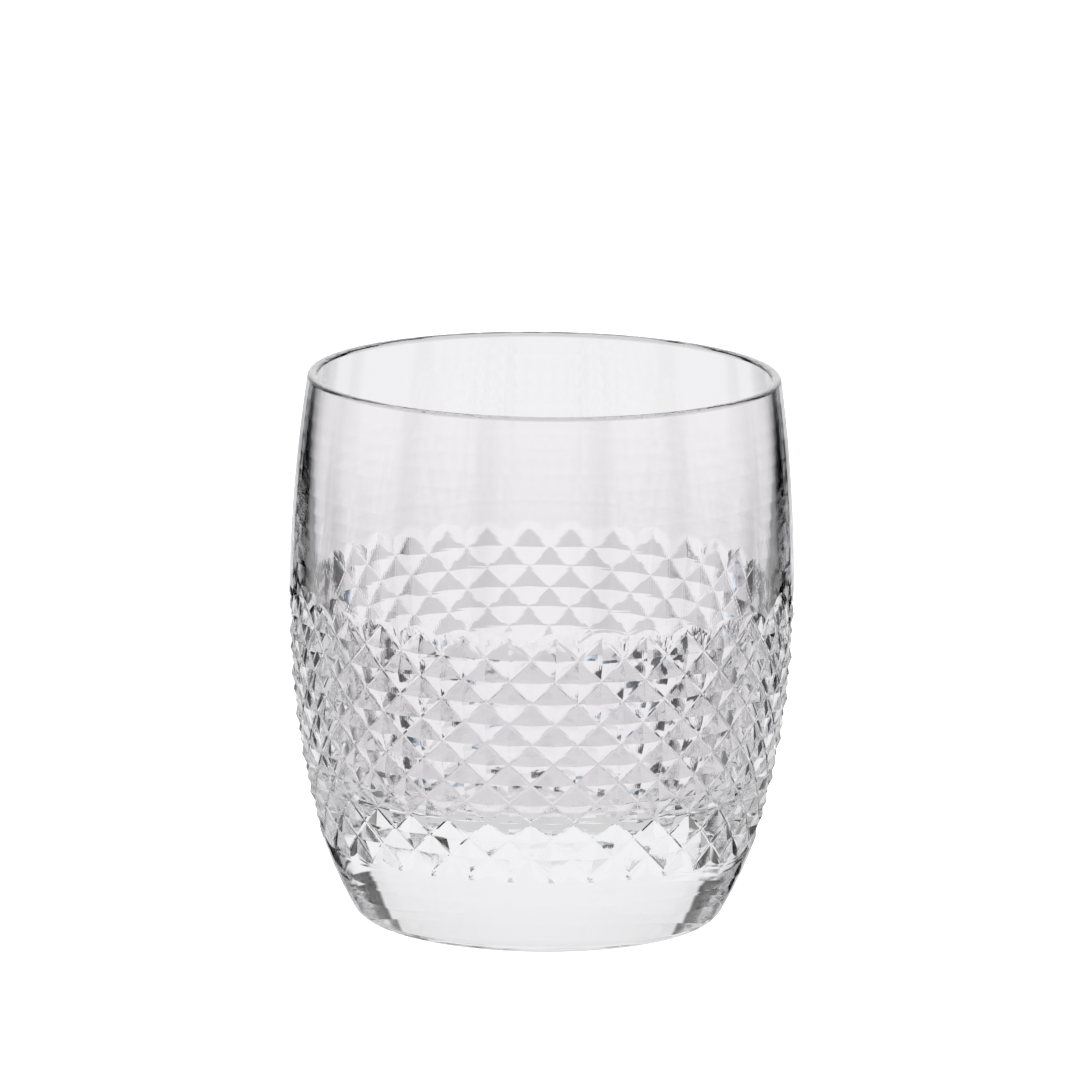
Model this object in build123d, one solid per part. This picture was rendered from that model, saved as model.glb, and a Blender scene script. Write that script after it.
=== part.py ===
from build123d import *
import math
import os

# Whiskey tumbler: one piece of heavy clear crystal with no joint anywhere in it.
# A turned barrel shape with a thick base, a plain upper wall and a band of cut diamonds.
# Sizes are in millimetres. The axis is Z and the base rests on Z = 0.

# Outside of the turned shape. The three insets say how far the wall draws in from the belly.
height = 95.0
belly_diameter = 87.0
belly_height = 54.5
rim_inset = 2.9
turn_in_height = 20.0
turn_in_inset = 4.3
foot_inset = 12.7
foot_rounding = 4.2

# Inside of the turned shape. Walls are measured level, from the outside in.
rim_wall = 1.7
rim_rounding = 0.75
cavity_widest_below_rim = 25.0
upper_wall = 2.5
base_thickness = 23.0
wall_at_floor = 4.1
cavity_corner = 8.0

# The cut band: crossing V-grooves leave a sharp pyramid between each four crossings.
# A half row is the height from one level of crossings to the next.
diamonds_around = 34
half_rows = 12
band_top = 57.6
band_bottom = 15.0
row_closing = 0.82
cut_depth = 1.0
tip_below_wall = 0.04
pattern_turn = 3.3

# Where the grooves run out: the top edge is scalloped and the bottom edge is nearly level.
top_crossing_depth = 0.6
top_scallop_rise = 1.05
top_cusp_rise = 3.0
bottom_crossing_depth = 0.6
bottom_scallop_drop = 1.0
bottom_cusp_drop = 2.9
cutter_clearance = 3.0


def tangent_arc_centre(start, heading, end):
    """Centre and radius of the arc that leaves start along heading and reaches end."""
    chord = (end[0] - start[0], end[1] - start[1])
    side = (-heading[1], heading[0])
    radius = (chord[0] ** 2 + chord[1] ** 2) / (2 * (chord[0] * side[0] + chord[1] * side[1]))
    return (start[0] + side[0] * radius, start[1] + side[1] * radius), abs(radius)


# The outer wall is three arcs, each tangent to the next: rim, lower wall and foot.
belly = (belly_diameter / 2, belly_height)
rim = (belly[0] - rim_inset, height)
turn_in = (belly[0] - turn_in_inset, turn_in_height)
foot = (belly[0] - foot_inset, 0.0)

upper_centre, upper_radius = tangent_arc_centre(belly, (0.0, 1.0), rim)
lower_centre, lower_radius = tangent_arc_centre(belly, (0.0, -1.0), turn_in)
turn_in_heading = (
    (turn_in[1] - lower_centre[1]) / lower_radius,
    -(turn_in[0] - lower_centre[0]) / lower_radius,
)
foot_centre, foot_radius = tangent_arc_centre(turn_in, turn_in_heading, foot)


def wall_radius(z):
    """Outer radius of the turned wall at a height, before it is cut."""
    if z >= belly_height:
        centre, radius = upper_centre, upper_radius
    elif z >= turn_in_height:
        centre, radius = lower_centre, lower_radius
    else:
        centre, radius = foot_centre, foot_radius
    return centre[0] + math.sqrt(radius**2 - (z - centre[1]) ** 2)


def turned_blank():
    """The uncut glass: outer wall, rim, cavity and base, turned about Z."""
    cavity_widest_height = height - cavity_widest_below_rim
    cavity_widest = (wall_radius(cavity_widest_height) - upper_wall, cavity_widest_height)
    cavity_rim = (rim[0] - rim_wall, height)
    cavity_foot = (wall_radius(base_thickness) - wall_at_floor, base_thickness)
    with BuildPart() as blank:
        with BuildSketch(Plane.XZ) as section:
            with BuildLine():
                TangentArc(belly, rim, tangent=(0, 1))
                TangentArc(belly, turn_in, tangent=(0, -1))
                TangentArc(turn_in, foot, tangent=turn_in_heading)
                Polyline(foot, (0, 0), (0, base_thickness), cavity_foot)
                TangentArc(cavity_widest, cavity_foot, tangent=(0, -1))
                TangentArc(cavity_widest, cavity_rim, tangent=(0, 1))
                Line(cavity_rim, rim)
            make_face()
            for corner, rounding in (
                (foot, foot_rounding),
                (cavity_foot, cavity_corner),
                (rim, rim_rounding),
                (cavity_rim, rim_rounding),
            ):
                fillet(section.vertices().sort_by_distance(corner)[0], rounding)
        revolve(axis=Axis.Z)
    return blank.part


def row_height(row):
    """Height of a level of crossings; the rows close up evenly towards the foot."""
    share = row / half_rows
    travelled = (2 * share - (1 - row_closing) * share**2) / (1 + row_closing)
    return band_top - (band_top - band_bottom) * travelled


def cut_point(column, z, depth):
    """A point at a depth inside the turned wall; columns are half a diamond apart."""
    angle = math.radians(pattern_turn) + column * math.pi / diamonds_around
    radius = wall_radius(z) - depth
    return (radius * math.sin(angle), -radius * math.cos(angle), z)


def lattice_point(row, column):
    """A crossing of two grooves, or the tip of a pyramid between four crossings."""
    crossing = (row + column) % 2 == 0
    return cut_point(column, row_height(row), cut_depth if crossing else tip_below_wall)


def run_out(side):
    """Points where the grooves leave the wall, at the top (side 0) or bottom of the band.

    Each column gives the last crossing, if it has one there, and a point clear of the wall.
    """
    last_row, inner_row, up = ((0, 1, 1), (half_rows, half_rows - 1, -1))[side]
    crossing_depth = (top_crossing_depth, bottom_crossing_depth)[side] * cut_depth
    scallop = (top_scallop_rise, bottom_scallop_drop)[side]
    cusp = (top_cusp_rise, bottom_cusp_drop)[side]
    last_height = row_height(last_row)
    clear_height = last_height + 2 * up * scallop
    cusp_travel = abs(clear_height - row_height(inner_row))
    crossings = {}
    clear = []
    for column in range(2 * diamonds_around):
        if (last_row + column) % 2 == 0:
            crossings[column] = cut_point(column, last_height, crossing_depth)
            clear.append(cut_point(column, clear_height, -crossing_depth))
        else:
            clear.append(cut_point(column, clear_height, cut_depth * (1 - cusp_travel / cusp)))
    return crossings, clear


def cutter():
    """A ring around the glass whose inner face is the finished surface of the cut band."""
    columns = 2 * diamonds_around
    triangles = []
    for row in range(1, half_rows - 1):
        for column in range(columns):
            here = (row, column), (row, (column + 1) % columns)
            below = (row + 1, column), (row + 1, (column + 1) % columns)
            if (row + column) % 2 == 0:
                groove, tips = (here[0], below[1]), (here[1], below[0])
            else:
                groove, tips = (here[1], below[0]), (here[0], below[1])
            for tip in tips:
                triangles.append([lattice_point(*corner) for corner in (*groove, tip)])

    rings = []
    for side, inner_row in ((0, 1), (1, half_rows - 1)):
        crossings, clear = run_out(side)
        for column in range(columns):
            beside = (column + 1) % columns
            crossed, plain = (column, beside) if column in crossings else (beside, column)
            inner_crossing = lattice_point(inner_row, plain)
            tip = lattice_point(inner_row, crossed)
            triangles.append([inner_crossing, tip, crossings[crossed]])
            triangles.append([inner_crossing, crossings[crossed], clear[crossed]])
            triangles.append([inner_crossing, clear[crossed], clear[plain]])
        outer_depth = wall_radius(clear[0][2]) - belly[0] - cutter_clearance
        outer = [cut_point(column, clear[0][2], outer_depth) for column in range(columns)]
        rings.append((clear, outer))

    quads = []
    for column in range(columns):
        beside = (column + 1) % columns
        for clear, outer in rings:
            quads.append([clear[column], clear[beside], outer[beside], outer[column]])
        top, bottom = rings[0][1], rings[1][1]
        quads.append([top[column], top[beside], bottom[beside], bottom[column]])

    faces = [Face(Wire.make_polygon(points)) for points in triangles + quads]
    return Solid(Shell(faces))


os.makedirs("parts", exist_ok=True)
glass = turned_blank() - cutter()
glass.label = "tumbler"
export_step(glass, "parts/tumbler.step")
print(f"tumbler {glass.volume / 1000:.1f} ml of glass")
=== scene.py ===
# %% [markdown]
# # A cut-crystal whiskey tumbler
#
# The real object is one piece of heavy, clear crystal. It is blown or pressed to a
# barrel shape, its rim is melted smooth, and a band of diamonds is then cut round it
# with a V-edged wheel. So the whole model is one closed surface and one material, and
# everything that the eye enjoys comes from the shape of that surface: light bends at
# each facet, and the heavy base works as a lens.
#
# The imported CAD part gives the frame: the same axes, the same size, in metres. Its
# box gives the glass its height, and the box of the finished glass is printed at the end.

# %% Load the frame
import math

import bpy
from mathutils import Matrix, Vector


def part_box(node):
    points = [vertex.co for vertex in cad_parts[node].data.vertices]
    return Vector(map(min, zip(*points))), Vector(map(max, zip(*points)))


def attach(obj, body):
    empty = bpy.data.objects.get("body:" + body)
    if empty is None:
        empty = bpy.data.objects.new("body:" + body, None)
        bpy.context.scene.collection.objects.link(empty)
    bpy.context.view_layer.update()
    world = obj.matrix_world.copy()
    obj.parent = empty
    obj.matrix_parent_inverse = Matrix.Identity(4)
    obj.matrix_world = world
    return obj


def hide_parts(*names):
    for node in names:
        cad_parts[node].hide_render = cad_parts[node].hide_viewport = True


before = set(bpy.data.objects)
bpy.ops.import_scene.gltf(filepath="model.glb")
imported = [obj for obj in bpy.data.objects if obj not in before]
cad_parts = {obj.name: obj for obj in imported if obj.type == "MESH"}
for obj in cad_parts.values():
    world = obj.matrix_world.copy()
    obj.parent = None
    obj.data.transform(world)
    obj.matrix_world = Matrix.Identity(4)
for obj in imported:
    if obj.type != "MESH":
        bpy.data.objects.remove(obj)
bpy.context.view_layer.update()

# %% [markdown]
# ## The turned shape
#
# A glass on its axis is a line turned through a full circle, so the first thing to
# draw is that line. It could be a Bezier curve pulled by eye, but a maker's drawing
# gives arcs: one from the belly up to the rim, one from the belly down to where the
# wall turns in, and a tighter one down to the foot. Each arc starts in the direction
# in which the one before it ended. The inside is drawn the same way, from wall
# thicknesses, and small arcs round the rim, the foot and the cavity's corner.

# %% Sizes of the turned shape
MM = 0.001
low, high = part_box("tumbler")
height = high.z - low.z
belly = (43.5 * MM, 54.5 * MM)
rim = (belly[0] - 2.9 * MM, height)
turn_in = (belly[0] - 4.3 * MM, 20 * MM)
foot = (belly[0] - 12.7 * MM, 0.0)
rim_wall = 1.7 * MM
upper_wall = 2.5 * MM
wall_at_floor = 4.1 * MM
base_thickness = 23 * MM
cavity_widest_height = height - 25 * MM


def tangent_arc(start, heading, end):
    """Centre radius, centre height and radius of the arc that leaves start along heading."""
    across, rise = end[0] - start[0], end[1] - start[1]
    side = (-heading[1], heading[0])
    signed = (across**2 + rise**2) / (2 * (across * side[0] + rise * side[1]))
    return start[0] + side[0] * signed, start[1] + side[1] * signed, abs(signed)


def radius_at(arc, level):
    """How far from the axis an arc of the wall is at a height."""
    return arc[0] + math.sqrt(arc[2] ** 2 - (level - arc[1]) ** 2)


upper_arc = tangent_arc(belly, (0, 1), rim)
lower_arc = tangent_arc(belly, (0, -1), turn_in)
turn_in_heading = ((turn_in[1] - lower_arc[1]) / lower_arc[2], -(turn_in[0] - lower_arc[0]) / lower_arc[2])
foot_arc = tangent_arc(turn_in, turn_in_heading, foot)

cavity_widest = (radius_at(upper_arc, cavity_widest_height) - upper_wall, cavity_widest_height)
cavity_rim = (rim[0] - rim_wall, height)
cavity_foot = (radius_at(foot_arc, base_thickness) - wall_at_floor, base_thickness)
cavity_upper_arc = tangent_arc(cavity_widest, (0, 1), cavity_rim)
cavity_lower_arc = tangent_arc(cavity_widest, (0, -1), cavity_foot)
print("arc radii in mm:", [round(arc[2] / MM) for arc in (upper_arc, lower_arc, foot_arc)])

# %% [markdown]
# Every rounding sits between a long arc and a level line: the top of the rim, the
# table, or the cavity's floor. Its centre is the rounding's own radius away from both,
# so one short rule places all four of them.

# %% Roundings between an arc and a level
rim_rounding = 0.75 * MM
foot_rounding = 4.2 * MM
cavity_corner = 8 * MM


def rounding(arc, level, size, up, outside):
    """The small arc that blends an arc into a level; outside says which side of the arc it is on."""
    centre_height = level + size * up
    reach = arc[2] + size * outside
    return arc[0] + math.sqrt(reach**2 - (centre_height - arc[1]) ** 2), centre_height, size


def bearing(arc, other):
    """The angle, seen from one arc's centre, of another arc's centre."""
    return math.atan2(other[1] - arc[1], other[0] - arc[0])


def walk(arc, start, end, steps):
    """Points along an arc, from one angle to another."""
    angles = [start + (end - start) * step / steps for step in range(steps + 1)]
    return [(arc[0] + arc[2] * math.cos(a), arc[1] + arc[2] * math.sin(a)) for a in angles]


rim_outer = rounding(upper_arc, height, rim_rounding, -1, -1)
rim_inner = rounding(cavity_upper_arc, height, rim_rounding, -1, 1)
corner = rounding(cavity_lower_arc, base_thickness, cavity_corner, 1, -1)
foot_corner = rounding(foot_arc, 0.0, foot_rounding, 1, -1)
print("the flat of the foot is", round(2 * foot_corner[0] / MM, 1), "mm across")

# %% [markdown]
# ## The cut band
#
# Two families of V-grooves climb the wall, one leaning left and one leaning right, and
# between each four crossings a sharp pyramid is left standing. The rows close up a
# little towards the foot, because the wall gets narrower and the grooves keep their
# angle. The levels of the crossings are counted from the top in half rows.

# %% Sizes of the cut band
diamonds_around = 34
half_rows = 12
band_top = 57.6 * MM
band_bottom = 15.0 * MM
row_closing = 0.82
cut_depth = 1.0 * MM
pattern_turn = math.radians(3.3)
top_scallop_rise = 1.05 * MM
top_cusp_rise = 3.0 * MM
bottom_scallop_drop = 1.0 * MM
bottom_cusp_drop = 2.9 * MM
run_out_depth = 0.6
plain_margin = 0.9 * MM


def row_height(row):
    """Height of a level of crossings."""
    share = row / half_rows
    travelled = (2 * share - (1 - row_closing) * share**2) / (1 + row_closing)
    return band_top - (band_top - band_bottom) * travelled


plain_above = band_top + top_scallop_rise + plain_margin
plain_below = band_bottom - bottom_scallop_drop - plain_margin
print("rows at", [round(row_height(row) / MM, 1) for row in range(half_rows + 1)])

# %% [markdown]
# ## The outline
#
# The outline starts in the middle of the cavity's floor, climbs the inner wall, goes
# over the rim, and comes down the outside to the table and in to the middle of the
# base. It stops above the cut band and goes on below it. Geometry Nodes fills in the
# band. A gap in one curve is enough to say where that is: the tree is told the number
# of the point above it.

# %% Draw the outline
floor_corner_steps, lower_cavity_steps, upper_cavity_steps = 8, 12, 8
inner_lip_steps, outer_lip_steps = 6, 7
plain_wall_steps, foot_wall_steps, foot_corner_steps = 14, 3, 6

inner_line = [(0.0, base_thickness)]
inner_line += walk(corner, -math.pi / 2, bearing(cavity_lower_arc, corner), floor_corner_steps)
inner_line += walk(cavity_lower_arc, bearing(cavity_lower_arc, corner), 0.0, lower_cavity_steps)[1:]
inner_line += walk(cavity_upper_arc, 0.0, bearing(cavity_upper_arc, rim_inner), upper_cavity_steps)[1:]
inner_lip_start = math.pi + bearing(cavity_upper_arc, rim_inner)
rim_line = walk(rim_inner, inner_lip_start, math.pi / 2, inner_lip_steps)[1:]
rim_line += walk(rim_outer, math.pi / 2, bearing(upper_arc, rim_outer), outer_lip_steps)
plain_angle = math.asin((plain_above - upper_arc[1]) / upper_arc[2])
wall_line = walk(upper_arc, bearing(upper_arc, rim_outer), plain_angle, plain_wall_steps)[1:]
foot_angle = math.asin((plain_below - foot_arc[1]) / foot_arc[2])
foot_line = walk(foot_arc, foot_angle, bearing(foot_arc, foot_corner), foot_wall_steps)
foot_line += walk(foot_corner, bearing(foot_arc, foot_corner), -math.pi / 2, foot_corner_steps)[1:]
foot_line += [(0.0, 0.0)]

above_band = inner_line + rim_line + wall_line
outline = above_band + foot_line
curve = bpy.data.curves.new("tumbler_outline", "CURVE")
curve.dimensions = "3D"
spline = curve.splines.new("POLY")
spline.points.add(len(outline) - 1)
for point, (across, level) in zip(spline.points, outline):
    point.co = (across, 0.0, level, 1.0)
turning = bpy.data.objects.new("tumbler_outline", curve)
bpy.context.scene.collection.objects.link(turning)
print("outline points:", len(outline), "of them above the band:", len(above_band))

# %% [markdown]
# ## Arithmetic in a node tree
#
# The band follows a rule, and a rule in Geometry Nodes is a chain of Math nodes. Fifty
# of them are hard to read one by one, so this small class lets the script write the
# rule as ordinary arithmetic. Each + or * adds one Math node to the tree.

# %% A number that builds Math nodes
class Amount:
    """A number in a node tree. Arithmetic on it adds Math nodes to that tree."""

    def __init__(self, socket):
        self.socket = socket

    def math(self, operation, *others, swap=False):
        node = self.socket.id_data.nodes.new("ShaderNodeMath")
        node.operation = operation
        values = (*others, self) if swap else (self, *others)
        for slot, value in zip(node.inputs, values):
            plug(value, slot)
        return Amount(node.outputs[0])

    def __add__(self, other):
        return self.math("ADD", other)

    def __sub__(self, other):
        return self.math("SUBTRACT", other)

    def __mul__(self, other):
        return self.math("MULTIPLY", other)

    def __truediv__(self, other):
        return self.math("DIVIDE", other)

    def __rsub__(self, other):
        return self.math("SUBTRACT", other, swap=True)

    __radd__ = __add__


print("an amount can be added, taken away, multiplied and divided")

# %% [markdown]
# The rest of the script needs six small helpers: one joins an amount to a socket, one
# adds any other node, one reads a node's output, two make the choices that come up
# again and again, and one starts a tree with named inputs and outputs.

# %% Helpers for building trees
def plug(value, slot):
    """Joins an amount to a socket, or types a plain number into it."""
    if isinstance(value, Amount):
        slot.id_data.links.new(value.socket, slot)
    else:
        slot.default_value = value


def add_node(tree, kind, inputs=(), **settings):
    """Adds a node, sets it up and joins its inputs, which are given by name or number."""
    node = tree.nodes.new(kind)
    for name, value in settings.items():
        setattr(node, name, value)
    for slot, value in dict(inputs).items():
        plug(value, node.inputs[slot])
    return node


def out(node, slot=0):
    """One output of a node, as an amount."""
    return Amount(node.outputs[slot])


def blend(start, end, share):
    """The value a share of the way from start to end."""
    return start + (end - start) * share


def choose(test, yes, no):
    """yes where test is 1 and no where it is 0."""
    return no + (yes - no) * test


def new_tree(name, inputs, outputs):
    """A geometry node tree with named sockets; each is (name, socket kind, default)."""
    tree = bpy.data.node_groups.new(name, "GeometryNodeTree")
    for label, kind, default in inputs:
        socket = tree.interface.new_socket(label, in_out="INPUT", socket_type=kind)
        if default is not None:
            socket.default_value = default
    for label, kind in outputs:
        tree.interface.new_socket(label, in_out="OUTPUT", socket_type=kind)
    return tree, tree.nodes.new("NodeGroupInput"), tree.nodes.new("NodeGroupOutput")


print("helpers:", ", ".join(helper.__name__ for helper in (plug, add_node, out, blend, choose, new_tree)))


# %% [markdown]
# ## How wide the wall is at a height
#
# The cut band lies on the turned wall, so the band has to know how far from the axis
# the wall is at any height. The three arcs answer that: radius = centre + the root of
# (arc radius squared - height above the centre squared). A small group keeps it in one
# place.

# %% The wall-radius group
wall_tree, wall_in, wall_out = new_tree(
    "Wall radius", [("Height", "NodeSocketFloat", None)], [("Radius", "NodeSocketFloat")]
)
wall_height = out(wall_in, "Height")


def arc_radius(arc):
    """Nodes for the distance from the axis to an arc, at the group's height."""
    above_centre = wall_height - arc[1]
    return (arc[2] ** 2 - above_centre * above_centre).math("SQRT") + arc[0]


above_belly = wall_height.math("GREATER_THAN", belly[1])
above_turn_in = wall_height.math("GREATER_THAN", turn_in[1])
below_belly = choose(above_turn_in, arc_radius(lower_arc), arc_radius(foot_arc))
plug(choose(above_belly, arc_radius(upper_arc), below_belly), wall_out.inputs["Radius"])
print("wall radius group:", len(wall_tree.nodes), "nodes")

# %% [markdown]
# ## One grid becomes the glass
#
# The tree makes a flat grid. Each column of the grid is one angle round the axis, and
# each row is one step along the outline. Plain rows take their place from the outline's
# points. The rows in the band follow the grooves instead: in each half row the grid's
# middle line lies exactly along the groove, a few lines run close beside it to round
# its bottom, and the outermost ones are the ridges. So every crease is an edge of the
# mesh, and the facets need no extra points.
#
# The other way would be a fine, even grid pushed in by the height of the pattern. It
# takes ten times the points, and its creases come out as saw teeth.

# %% The tree's named inputs
FLOAT, WHOLE = "NodeSocketFloat", "NodeSocketInt"
columns_per_half = 11
lines_beside_groove = 2
margin_rows = 1
groove_rounding = 0.11
crease_angle = math.radians(24)
cut_sizes = [
    ("Diamonds Around", WHOLE, diamonds_around),
    ("Half Rows", WHOLE, half_rows),
    ("Columns Per Half Diamond", WHOLE, columns_per_half),
    ("Band Top", FLOAT, band_top),
    ("Band Bottom", FLOAT, band_bottom),
    ("Row Closing", FLOAT, row_closing),
    ("Cut Depth", FLOAT, cut_depth),
    ("Groove Rounding", FLOAT, groove_rounding),
    ("Pattern Turn", FLOAT, pattern_turn),
    ("Run-out Depth", FLOAT, run_out_depth),
    ("Points Above Band", WHOLE, len(above_band)),
    ("Crease Angle", FLOAT, crease_angle),
]
tree, given, result = new_tree(
    "Cut tumbler",
    [("Geometry", "NodeSocketGeometry", None), *cut_sizes, ("Material", "NodeSocketMaterial", None)],
    [("Geometry", "NodeSocketGeometry")],
)
size = {label: out(given, label) for label, _, _ in cut_sizes}
print("named inputs:", ", ".join(size))

# %% [markdown]
# The grid has one column more than there are steps round the glass, because its first
# and last columns are the same line and will be merged. Its rows are the outline's
# points and the band's own rows. A grid node only knows positions, so each point works
# out its own row and column numbers from where it lies.

# %% Rows and columns of the grid
lines = 2 * (lines_beside_groove + 1)
columns = size["Diamonds Around"] * 2 * size["Columns Per Half Diamond"]
band_lines = size["Half Rows"] * lines
band_rows = band_lines + (2 * margin_rows + 1)
outline_size = add_node(
    tree, "GeometryNodeAttributeDomainSize", {"Geometry": out(given, "Geometry")}, component="CURVE"
)
rows = out(outline_size) + band_rows
grid = add_node(
    tree,
    "GeometryNodeMeshGrid",
    {"Size X": columns, "Size Y": rows - 1, "Vertices X": columns + 1, "Vertices Y": rows},
)
place = add_node(tree, "ShaderNodeSeparateXYZ", {0: out(add_node(tree, "GeometryNodeInputPosition"))})
column = (out(place, "X") + columns / 2).math("ROUND")
row = (out(place, "Y") + (rows - 1) / 2).math("ROUND")
print("columns round the glass:", diamonds_around * 2 * columns_per_half)

# %% [markdown]
# In the band, `strip` is the half row that a grid row belongs to, `line` counts the
# grid lines on either side of the groove, and `groove` says how far down the strip the
# groove is at this column: 0 at one crossing, 1 at the next, and back again.

# %% Where the groove is
band_row = row - size["Points Above Band"]
strip_row = (band_row - margin_rows).math("MAXIMUM", 0).math("MINIMUM", band_lines)
strip = (strip_row / lines).math("FLOOR").math("MINIMUM", size["Half Rows"] - 1)
line = strip_row - strip * lines - lines / 2
half_column = column / size["Columns Per Half Diamond"]
groove = (half_column + strip).math("PINGPONG", 1.0)
first_strip = strip.math("LESS_THAN", 0.5)
last_strip = strip.math("GREATER_THAN", size["Half Rows"] - 1.5)


def level_of(row_number):
    """Nodes for the height of a level of crossings."""
    share = row_number / size["Half Rows"]
    travelled = (share * 2 - (1 - size["Row Closing"]) * share * share) / (size["Row Closing"] + 1)
    return blend(size["Band Top"], size["Band Bottom"], travelled)


upper_level = level_of(strip)
lower_level = level_of(strip + 1)
pitch = upper_level - lower_level
groove_level = blend(upper_level, lower_level, groove)
print("the top half row is", round((row_height(0) - row_height(1)) / MM, 2), "mm high")

# %% [markdown]
# At the top of the band the grooves end in scallops, one arc over each diamond. At the
# bottom they run out at nearly one level. There the strip ends on that edge instead of
# on a level of crossings, and the groove gets shallower as it comes near.

# %% Where each strip ends
top_peak = upper_level + top_scallop_rise
top_cusp = lower_level + top_cusp_rise
scallop_edge = blend(top_cusp, top_peak, 1 - groove * groove)
past_groove = 1 - groove
bottom_peak = lower_level - bottom_scallop_drop
bottom_cusp = upper_level - bottom_cusp_drop
bottom_edge = blend(bottom_cusp, bottom_peak, 1 - past_groove * past_groove)

is_lower = line.math("GREATER_THAN", 0)
upper_end = choose(first_strip, scallop_edge, upper_level)
lower_end = choose(last_strip, bottom_edge, lower_level)
end_level = choose(is_lower, lower_end, upper_end)
upper_ridge_depth = (1 - groove) * (1 - first_strip)
lower_ridge_depth = groove * (1 - last_strip)
end_depth = choose(is_lower, lower_ridge_depth, upper_ridge_depth) * size["Cut Depth"]
shallow_top = blend(size["Run-out Depth"], 1, groove)
shallow_bottom = blend(1, size["Run-out Depth"], groove)
groove_depth = choose(first_strip, shallow_top, choose(last_strip, shallow_bottom, 1)) * size["Cut Depth"]
print("grooves run out at", round(run_out_depth * cut_depth / MM, 2), "mm deep")

# %% [markdown]
# A grid line beside the groove stays at its own small distance from it, unless the
# strip ends first. The flanks are straight from the groove to the ridge, and a
# parabola takes the place of the sharp V at the bottom, as a worn wheel leaves it.

# %% Height and depth of each band point
end_distance = (end_level - groove_level).math("ABSOLUTE") / pitch
beside = line.math("ABSOLUTE")
on_end = beside.math("GREATER_THAN", lines_beside_groove + 0.5)
distance = choose(on_end, end_distance, (beside * size["Groove Rounding"]).math("MINIMUM", end_distance))
flank_share = distance / end_distance.math("MAXIMUM", 1e-6)
cell_level = blend(groove_level, end_level, flank_share)
inside_rounding = (size["Groove Rounding"] - distance).math("MAXIMUM", 0)
filled = inside_rounding * inside_rounding / (size["Groove Rounding"] * 2) * size["Cut Depth"]
depth = blend(groove_depth, end_depth, flank_share) - filled

above_share = (margin_rows - band_row).math("MAXIMUM", 0) / (margin_rows + 1)
below_share = (band_row - margin_rows - band_lines).math("MAXIMUM", 0) / (margin_rows + 1)
band_level = blend(blend(cell_level, plain_above, above_share), plain_below, below_share)
wall = add_node(tree, "GeometryNodeGroup", node_tree=wall_tree)
plug(band_level, wall.inputs["Height"])
band_radius = out(wall, "Radius") - depth
print("tree so far:", len(tree.nodes), "nodes")

# %% [markdown]
# The last step picks, for each grid point, the band's place or the outline's, and
# turns it about the axis. Each point also remembers whether it was cut, for the
# material. The first and last columns meet and are merged, and so are
# the points at the crossings and in the middle of the floor and the base. Edges with a
# real crease are marked sharp, so that facets stay flat and walls stay smooth.

# %% Turn the grid into the glass
merge_distance = 0.002 * MM
below_band = row.math("GREATER_THAN", size["Points Above Band"] + band_rows - 0.5)
in_band = row.math("GREATER_THAN", size["Points Above Band"] - 0.5) * (1 - below_band)
outline_place = add_node(
    tree,
    "GeometryNodeSampleIndex",
    {
        "Geometry": out(given, "Geometry"),
        "Value": out(add_node(tree, "GeometryNodeInputPosition")),
        "Index": row - band_rows * below_band,
    },
    data_type="FLOAT_VECTOR",
    clamp=True,
)
drawn = add_node(tree, "ShaderNodeSeparateXYZ", {0: out(outline_place)})
radius = choose(in_band, band_radius, out(drawn, "X"))
level = choose(in_band, band_level, out(drawn, "Z"))
angle = half_column * math.pi / size["Diamonds Around"] + size["Pattern Turn"]
turned = add_node(
    tree,
    "ShaderNodeCombineXYZ",
    {"X": radius * angle.math("SINE"), "Y": radius * angle.math("COSINE") * -1, "Z": level},
)
is_cut = in_band * (above_share + below_share).math("LESS_THAN", 0.01)
marked = add_node(
    tree, "GeometryNodeStoreNamedAttribute", {"Geometry": out(grid, "Mesh"), "Name": "cut", "Value": is_cut}
)
placed = add_node(tree, "GeometryNodeSetPosition", {"Geometry": out(marked), "Position": out(turned)})
merged = add_node(
    tree, "GeometryNodeMergeByDistance", {"Geometry": out(placed), "Distance": merge_distance}
)
edge_angle = out(add_node(tree, "GeometryNodeInputMeshEdgeAngle"), "Unsigned Angle")
is_crease = edge_angle.math("GREATER_THAN", size["Crease Angle"])
creased = add_node(
    tree,
    "GeometryNodeSetShadeSmooth",
    {"Geometry": out(merged), "Selection": is_crease, "Shade Smooth": False},
    domain="EDGE",
)
outward = add_node(tree, "GeometryNodeFlipFaces", {"Mesh": out(creased)})
whole = add_node(tree, "GeometryNodeRealizeInstances", {"Geometry": out(outward)})
finished = add_node(
    tree, "GeometryNodeSetMaterial", {"Geometry": out(whole), "Material": out(given, "Material")}
)
plug(out(finished), result.inputs["Geometry"])
print("cut tumbler tree:", len(tree.nodes), "nodes")

# %% [markdown]
# ## Crystal
#
# Clear crystal is the Principled shader with Transmission Weight at 1. It bends light a
# little more than window glass does, so its index of refraction is 1.54, and it has a
# breath of lilac in it, which is set in the base colour.
#
# The colour, the index and the clearness are the same all over, so they are set on the
# shader's own sockets.

# %% The crystal material
crystal = bpy.data.materials.new("crystal")
crystal.use_nodes = True
finish = crystal.node_tree
shader = finish.nodes["Principled BSDF"]
shader.inputs["Transmission Weight"].default_value = 1.0
shader.inputs["IOR"].default_value = 1.54
shader.inputs["Base Color"].default_value = (0.985, 0.975, 0.99, 1.0)
print("crystal: index", shader.inputs["IOR"].default_value)

# %% [markdown]
# A perfectly even surface looks computed. On the real glass the fire-polished wall is
# as smooth as a mirror but stands in faint upright waves from the blowing, and the cut
# facets, polished afterwards, are a little softer and pillowed. Both could be modelled,
# but they are hundredths of a millimetre high, so two noise textures and a Bump node
# are enough. The "cut" mark that the tree left on each point says which finish is where.

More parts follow.
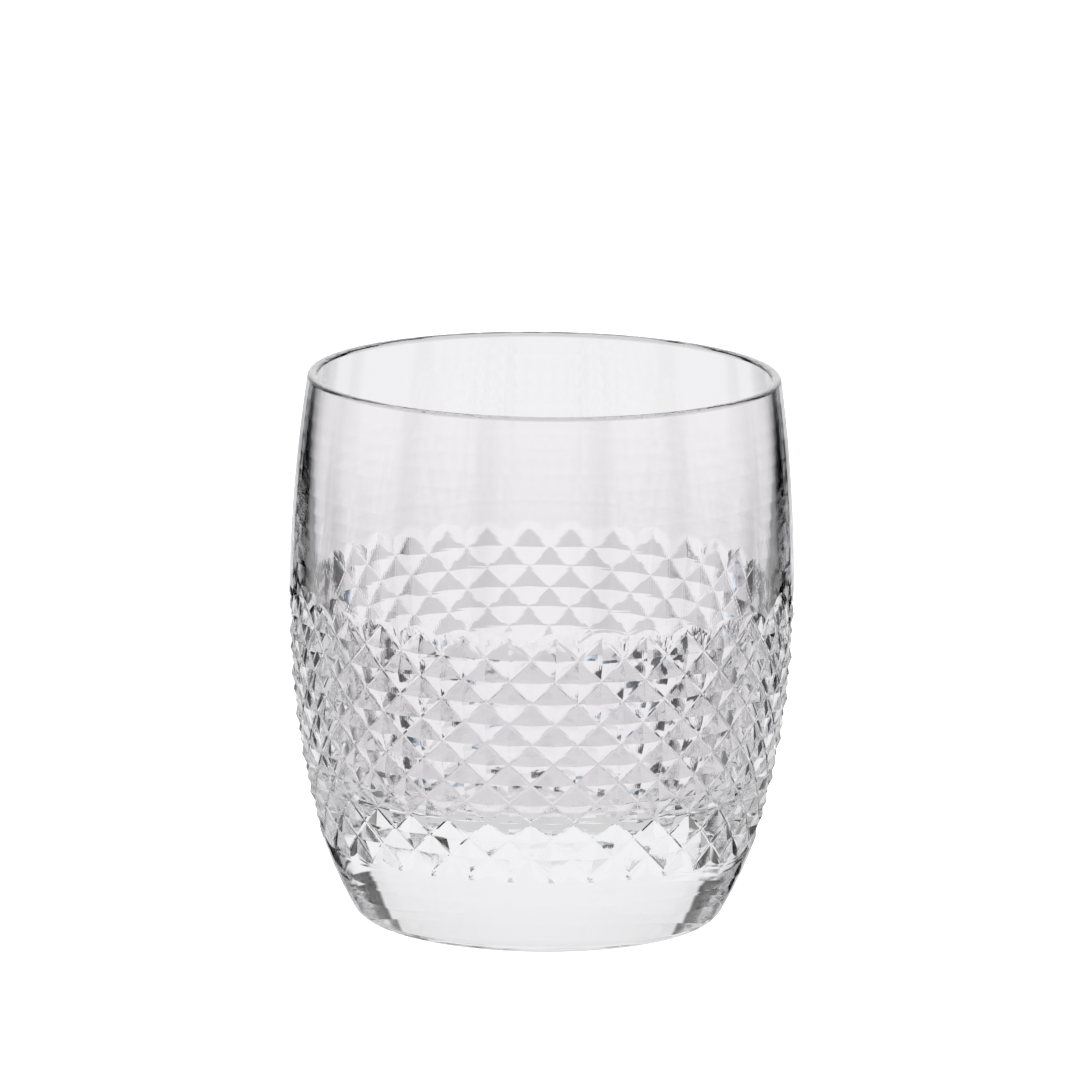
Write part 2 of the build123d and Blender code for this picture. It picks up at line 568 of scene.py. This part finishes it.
# %% Blown waves and polished facets
blown_wave = 0.025 * MM
facet_wave = 0.012 * MM
cut_roughness = 0.05
surface = out(add_node(finish, "ShaderNodeTexCoord"), "Object")
cut_mark = out(add_node(finish, "ShaderNodeAttribute", attribute_name="cut"), "Fac")
upright = add_node(finish, "ShaderNodeMapping", {"Vector": surface})
upright.inputs["Scale"].default_value = (1.0, 1.0, 0.12)
waves = add_node(finish, "ShaderNodeTexNoise", {"Vector": out(upright), "Scale": 120.0, "Detail": 1.0})
pillows = add_node(finish, "ShaderNodeTexNoise", {"Vector": surface, "Scale": 700.0, "Detail": 1.0})
plain_height = out(waves) * blown_wave * (1 - cut_mark)
cut_height = out(pillows) * facet_wave * cut_mark
relief = add_node(
    finish, "ShaderNodeBump", {"Strength": 1.0, "Distance": 1.0, "Height": plain_height + cut_height}
)
plug(out(relief), shader.inputs["Normal"])
plug(cut_mark * cut_roughness * (0.5 + out(waves)), shader.inputs["Roughness"])
print("finish: waves of", blown_wave / MM, "mm on the wall,", facet_wave / MM, "mm on the facets")

# %% [markdown]
# ## Run the tree
#
# The tree is a modifier on the outline. Each named input is set through its socket's
# identifier, before the object is first worked out, and the result is kept as a plain
# mesh. The outline has then done its work and goes.

# %% Run the tree and keep a plain mesh
sockets = {item.name: item.identifier for item in tree.interface.items_tree if item.in_out == "INPUT"}
modifier = turning.modifiers.new("cut tumbler", "NODES")
modifier.node_group = tree
for label, _, value in cut_sizes:
    modifier[sockets[label]] = value
modifier[sockets["Material"]] = crystal
graph = bpy.context.evaluated_depsgraph_get()
mesh = bpy.data.meshes.new_from_object(turning.evaluated_get(graph))
turning.modifiers.clear()
bpy.data.objects.remove(turning)
mesh.materials.clear()
mesh.materials.append(crystal)
tumbler = bpy.data.objects.new("crystal_tumbler", mesh)
bpy.context.scene.collection.objects.link(tumbler)
mesh.calc_loop_triangles()
print("tumbler:", len(mesh.vertices), "points,", len(mesh.loop_triangles), "triangles")

# %% [markdown]
# ## Join the frame
#
# The glass rides on the only body that the row has, and takes the place of its plain
# CAD solid.

# %% Join the frame
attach(tumbler, "root")
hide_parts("tumbler")
print("tumbler box in mm:", [round(side / MM, 2) for side in tumbler.dimensions])

# %% [markdown]
# ## The table
#
# The glass stands on a plain white sheet that is lit as brightly as the air around it,
# so that it has no horizon. A shaded floor would be the usual choice, but it would show
# through the glass as a grey shelf. The light tent stands in for it there.

# %% The table
bpy.ops.mesh.primitive_plane_add(size=8.0, location=(0, 0, -0.05 * MM))
floor = bpy.context.active_object
floor.name = "floor"
paper = bpy.data.materials.new("white_table")
paper.use_nodes = True
paper_shader = paper.node_tree.nodes["Principled BSDF"]
paper_shader.inputs["Base Color"].default_value = (0.9, 0.9, 0.9, 1)
paper_shader.inputs["Emission Color"].default_value = (1, 1, 1, 1)
paper_shader.inputs["Emission Strength"].default_value = 1.0
floor.data.materials.append(paper)
floor.visible_transmission = False
floor.visible_glossy = False
floor.visible_diffuse = False
print("table:", round(floor.dimensions.x), "m wide")

# %% [markdown]
# ## The light tent
#
# Clear glass has no colour of its own. What is seen is the room, bent through it, so
# glass is best lit in a white tent with dark cards beside the glass, out of view.
# The wall bends the cards into the outline and draws it dark, and the facets pick up
# small flecks of them. Lamps and card objects could do this too, but the tent is only a
# matter of direction, so it is written as the world's colour: one amount for how far
# round a direction is from straight ahead, and one for how high it is, both in degrees.

# %% Directions in the tent
tent = bpy.data.worlds.new("light_tent")
bpy.context.scene.world = tent
tent.use_nodes = True
sky = tent.node_tree
sky.nodes.clear()
looking = out(add_node(sky, "ShaderNodeTexCoord"), "Generated")
direction = add_node(sky, "ShaderNodeSeparateXYZ", {0: looking})
aside = (out(direction, "X").math("ARCTAN2", out(direction, "Y")) * (180 / math.pi)).math("ABSOLUTE")
raised = out(direction, "Z").math("ARCSINE") * (180 / math.pi)


def grey(amount):
    """The same amount of red, green and blue."""
    return out(add_node(sky, "ShaderNodeCombineXYZ", {"X": amount, "Y": amount, "Z": amount}))


def colour_math(operation, first, *others):
    """Arithmetic on colours, one after another."""
    for other in others:
        first = out(add_node(sky, "ShaderNodeVectorMath", {0: first, 1: other}, operation=operation))
    return first


def rise(amount, start, end, fringe=0.0):
    """0 before start and 1 after end; red, green and blue may start a little apart, as in a prism."""
    node = add_node(sky, "ShaderNodeMapRange", data_type="FLOAT_VECTOR", interpolation_type="SMOOTHSTEP")
    plug(grey(amount), node.inputs["Vector"])
    node.inputs[7].default_value = (start - fringe, start, start + fringe)
    node.inputs[8].default_value = (end - fringe, end, end + fringe)
    return out(node, "Vector")


def between(amount, start, full, fade, end):
    """1 from full to fade, falling smoothly to 0 at start and at end."""
    return colour_math("MULTIPLY", rise(amount, start, full), rise(amount * -1, -end, -fade))


print("tent directions are in degrees")

# %% [markdown]
# The low pair of cards stands beside the glass, a little below its middle, and draws
# the dark outline. Their inner edges bulge in at the height where the camera's line of
# sight leaves the glass, and lean outwards above and below it. The high pair stands
# further round and darkens the edges of the foot, which works as a lens and looks up.
# Narrow strips further round give the other sides of the glass an outline as well.

# %% Dark cards
under = (-20 - raised).math("MAXIMUM", 0)
over = (raised + 8).math("MAXIMUM", 0)
bulge = (-13 - raised).math("MAXIMUM", 0).math("MINIMUM", 3)
lean = under * 1.2 + over * 2.0 - bulge * 1.7
low_strength = (1 - (under - 4).math("MAXIMUM", 0) * 0.05 - over * 0.05).math("MAXIMUM", 0)
low_edge = rise(aside - lean, 20.0, 21.0, 0.12)
low_cards = colour_math("MULTIPLY", low_edge, rise(aside * -1, -48.0, -40.0), grey(low_strength))
high_cards = colour_math(
    "MULTIPLY", between(aside, 43.0, 46.0, 60.0, 78.0), between(raised, -6.0, 4.0, 30.0, 60.0)
)
strip_darkness = 0.75
near_strip = between(aside, 58.0, 62.0, 68.0, 74.0)
side_strip = between(aside, 106.0, 110.0, 116.0, 122.0)
back_strip = between(aside, 146.0, 150.0, 155.0, 160.0)
strips = colour_math("MAXIMUM", near_strip, side_strip, back_strip)
strips = colour_math("MULTIPLY", strips, between(raised, -50.0, -35.0, 0.0, 20.0), grey(strip_darkness))
cards = colour_math("MAXIMUM", low_cards, high_cards, strips)
print("dark cards: low pair, high pair and three narrow pairs")

# %% [markdown]
# The tent is brightest where it is level with the glass. It is a little darker below,
# where the light comes off the table, under the roof, and behind the camera. Rays that
# come straight from the camera see plain white instead, which is the bare backdrop.

# %% The tent's brightness
table_light = 0.67
level_light = colour_math("MULTIPLY", rise(raised, -20.0, -12.0), grey(0.26))
roof = colour_math("MULTIPLY", rise(raised, 4.0, 45.0), grey(-0.16))
behind = colour_math("MULTIPLY", rise(aside, 60.0, 110.0), grey(-0.12))
brightness = colour_math("ADD", grey(table_light), level_light, roof, behind)
lit = colour_math("MULTIPLY", brightness, colour_math("SUBTRACT", grey(1.0), cards))
tent_light = add_node(sky, "ShaderNodeBackground", {"Color": lit, "Strength": 1.0})
backdrop_white = 1.05
white = add_node(sky, "ShaderNodeBackground", {"Color": (1, 1, 1, 1), "Strength": backdrop_white})
from_camera = out(add_node(sky, "ShaderNodeLightPath"), "Is Camera Ray")
seen = add_node(sky, "ShaderNodeMixShader", {0: from_camera, 1: out(tent_light), 2: out(white)})
add_node(sky, "ShaderNodeOutputWorld", {"Surface": out(seen)})
print("tent tree:", len(sky.nodes), "nodes")

# %% [markdown]
# ## The camera
#
# A long lens from two metres away looks down a little on the rim. The nearly straight
# sides of the rim's ellipse, and how little the foot shrinks, both say that the camera
# is far off. It is placed by its height angle and its distance, and it leans by less
# than one degree.

# %% The camera
camera_data = bpy.data.cameras.new("camera")
camera_data.lens = 377.2
camera_data.sensor_width = 36
camera_data.clip_start, camera_data.clip_end = 0.1, 20
camera = bpy.data.objects.new("camera", camera_data)
bpy.context.scene.collection.objects.link(camera)
bpy.context.scene.camera = camera
look_down = math.radians(11.95)
lean_over = math.radians(0.738)
aim_up = math.radians(0.4927)
aim_left = math.radians(0.0055)
camera_distance = 1.950
glass_middle = Vector((0, 0, 48.77 * MM))
back = Vector((0, -math.cos(look_down), math.sin(look_down)))
right = Vector((math.cos(lean_over), 0, 0))
right += Vector((0, math.sin(look_down), math.cos(look_down))) * math.sin(lean_over)
up = back.cross(right)
aim = (-back + up * math.tan(aim_up) - right * math.tan(aim_left)).normalized()
right = (right - aim * right.dot(aim)).normalized()
up = right.cross(aim)
turn = Matrix((right, up, -aim)).transposed().to_4x4()
camera.matrix_world = Matrix.Translation(glass_middle + back * camera_distance) @ turn
print("camera", camera_distance, "m away, looking down", round(math.degrees(look_down), 1), "degrees")

# %% [markdown]
# ## Light through many walls
#
# One line of sight can cross ten surfaces of the glass before it leaves, and with too
# few bounces the deep facets turn black. The plain Standard view keeps white white.

# %% Render settings for glass
scene = bpy.context.scene
scene.view_settings.view_transform = "Standard"
scene.cycles.max_bounces = 32
scene.cycles.transmission_bounces = 32
scene.cycles.glossy_bounces = 16
print("bounces:", scene.cycles.max_bounces)
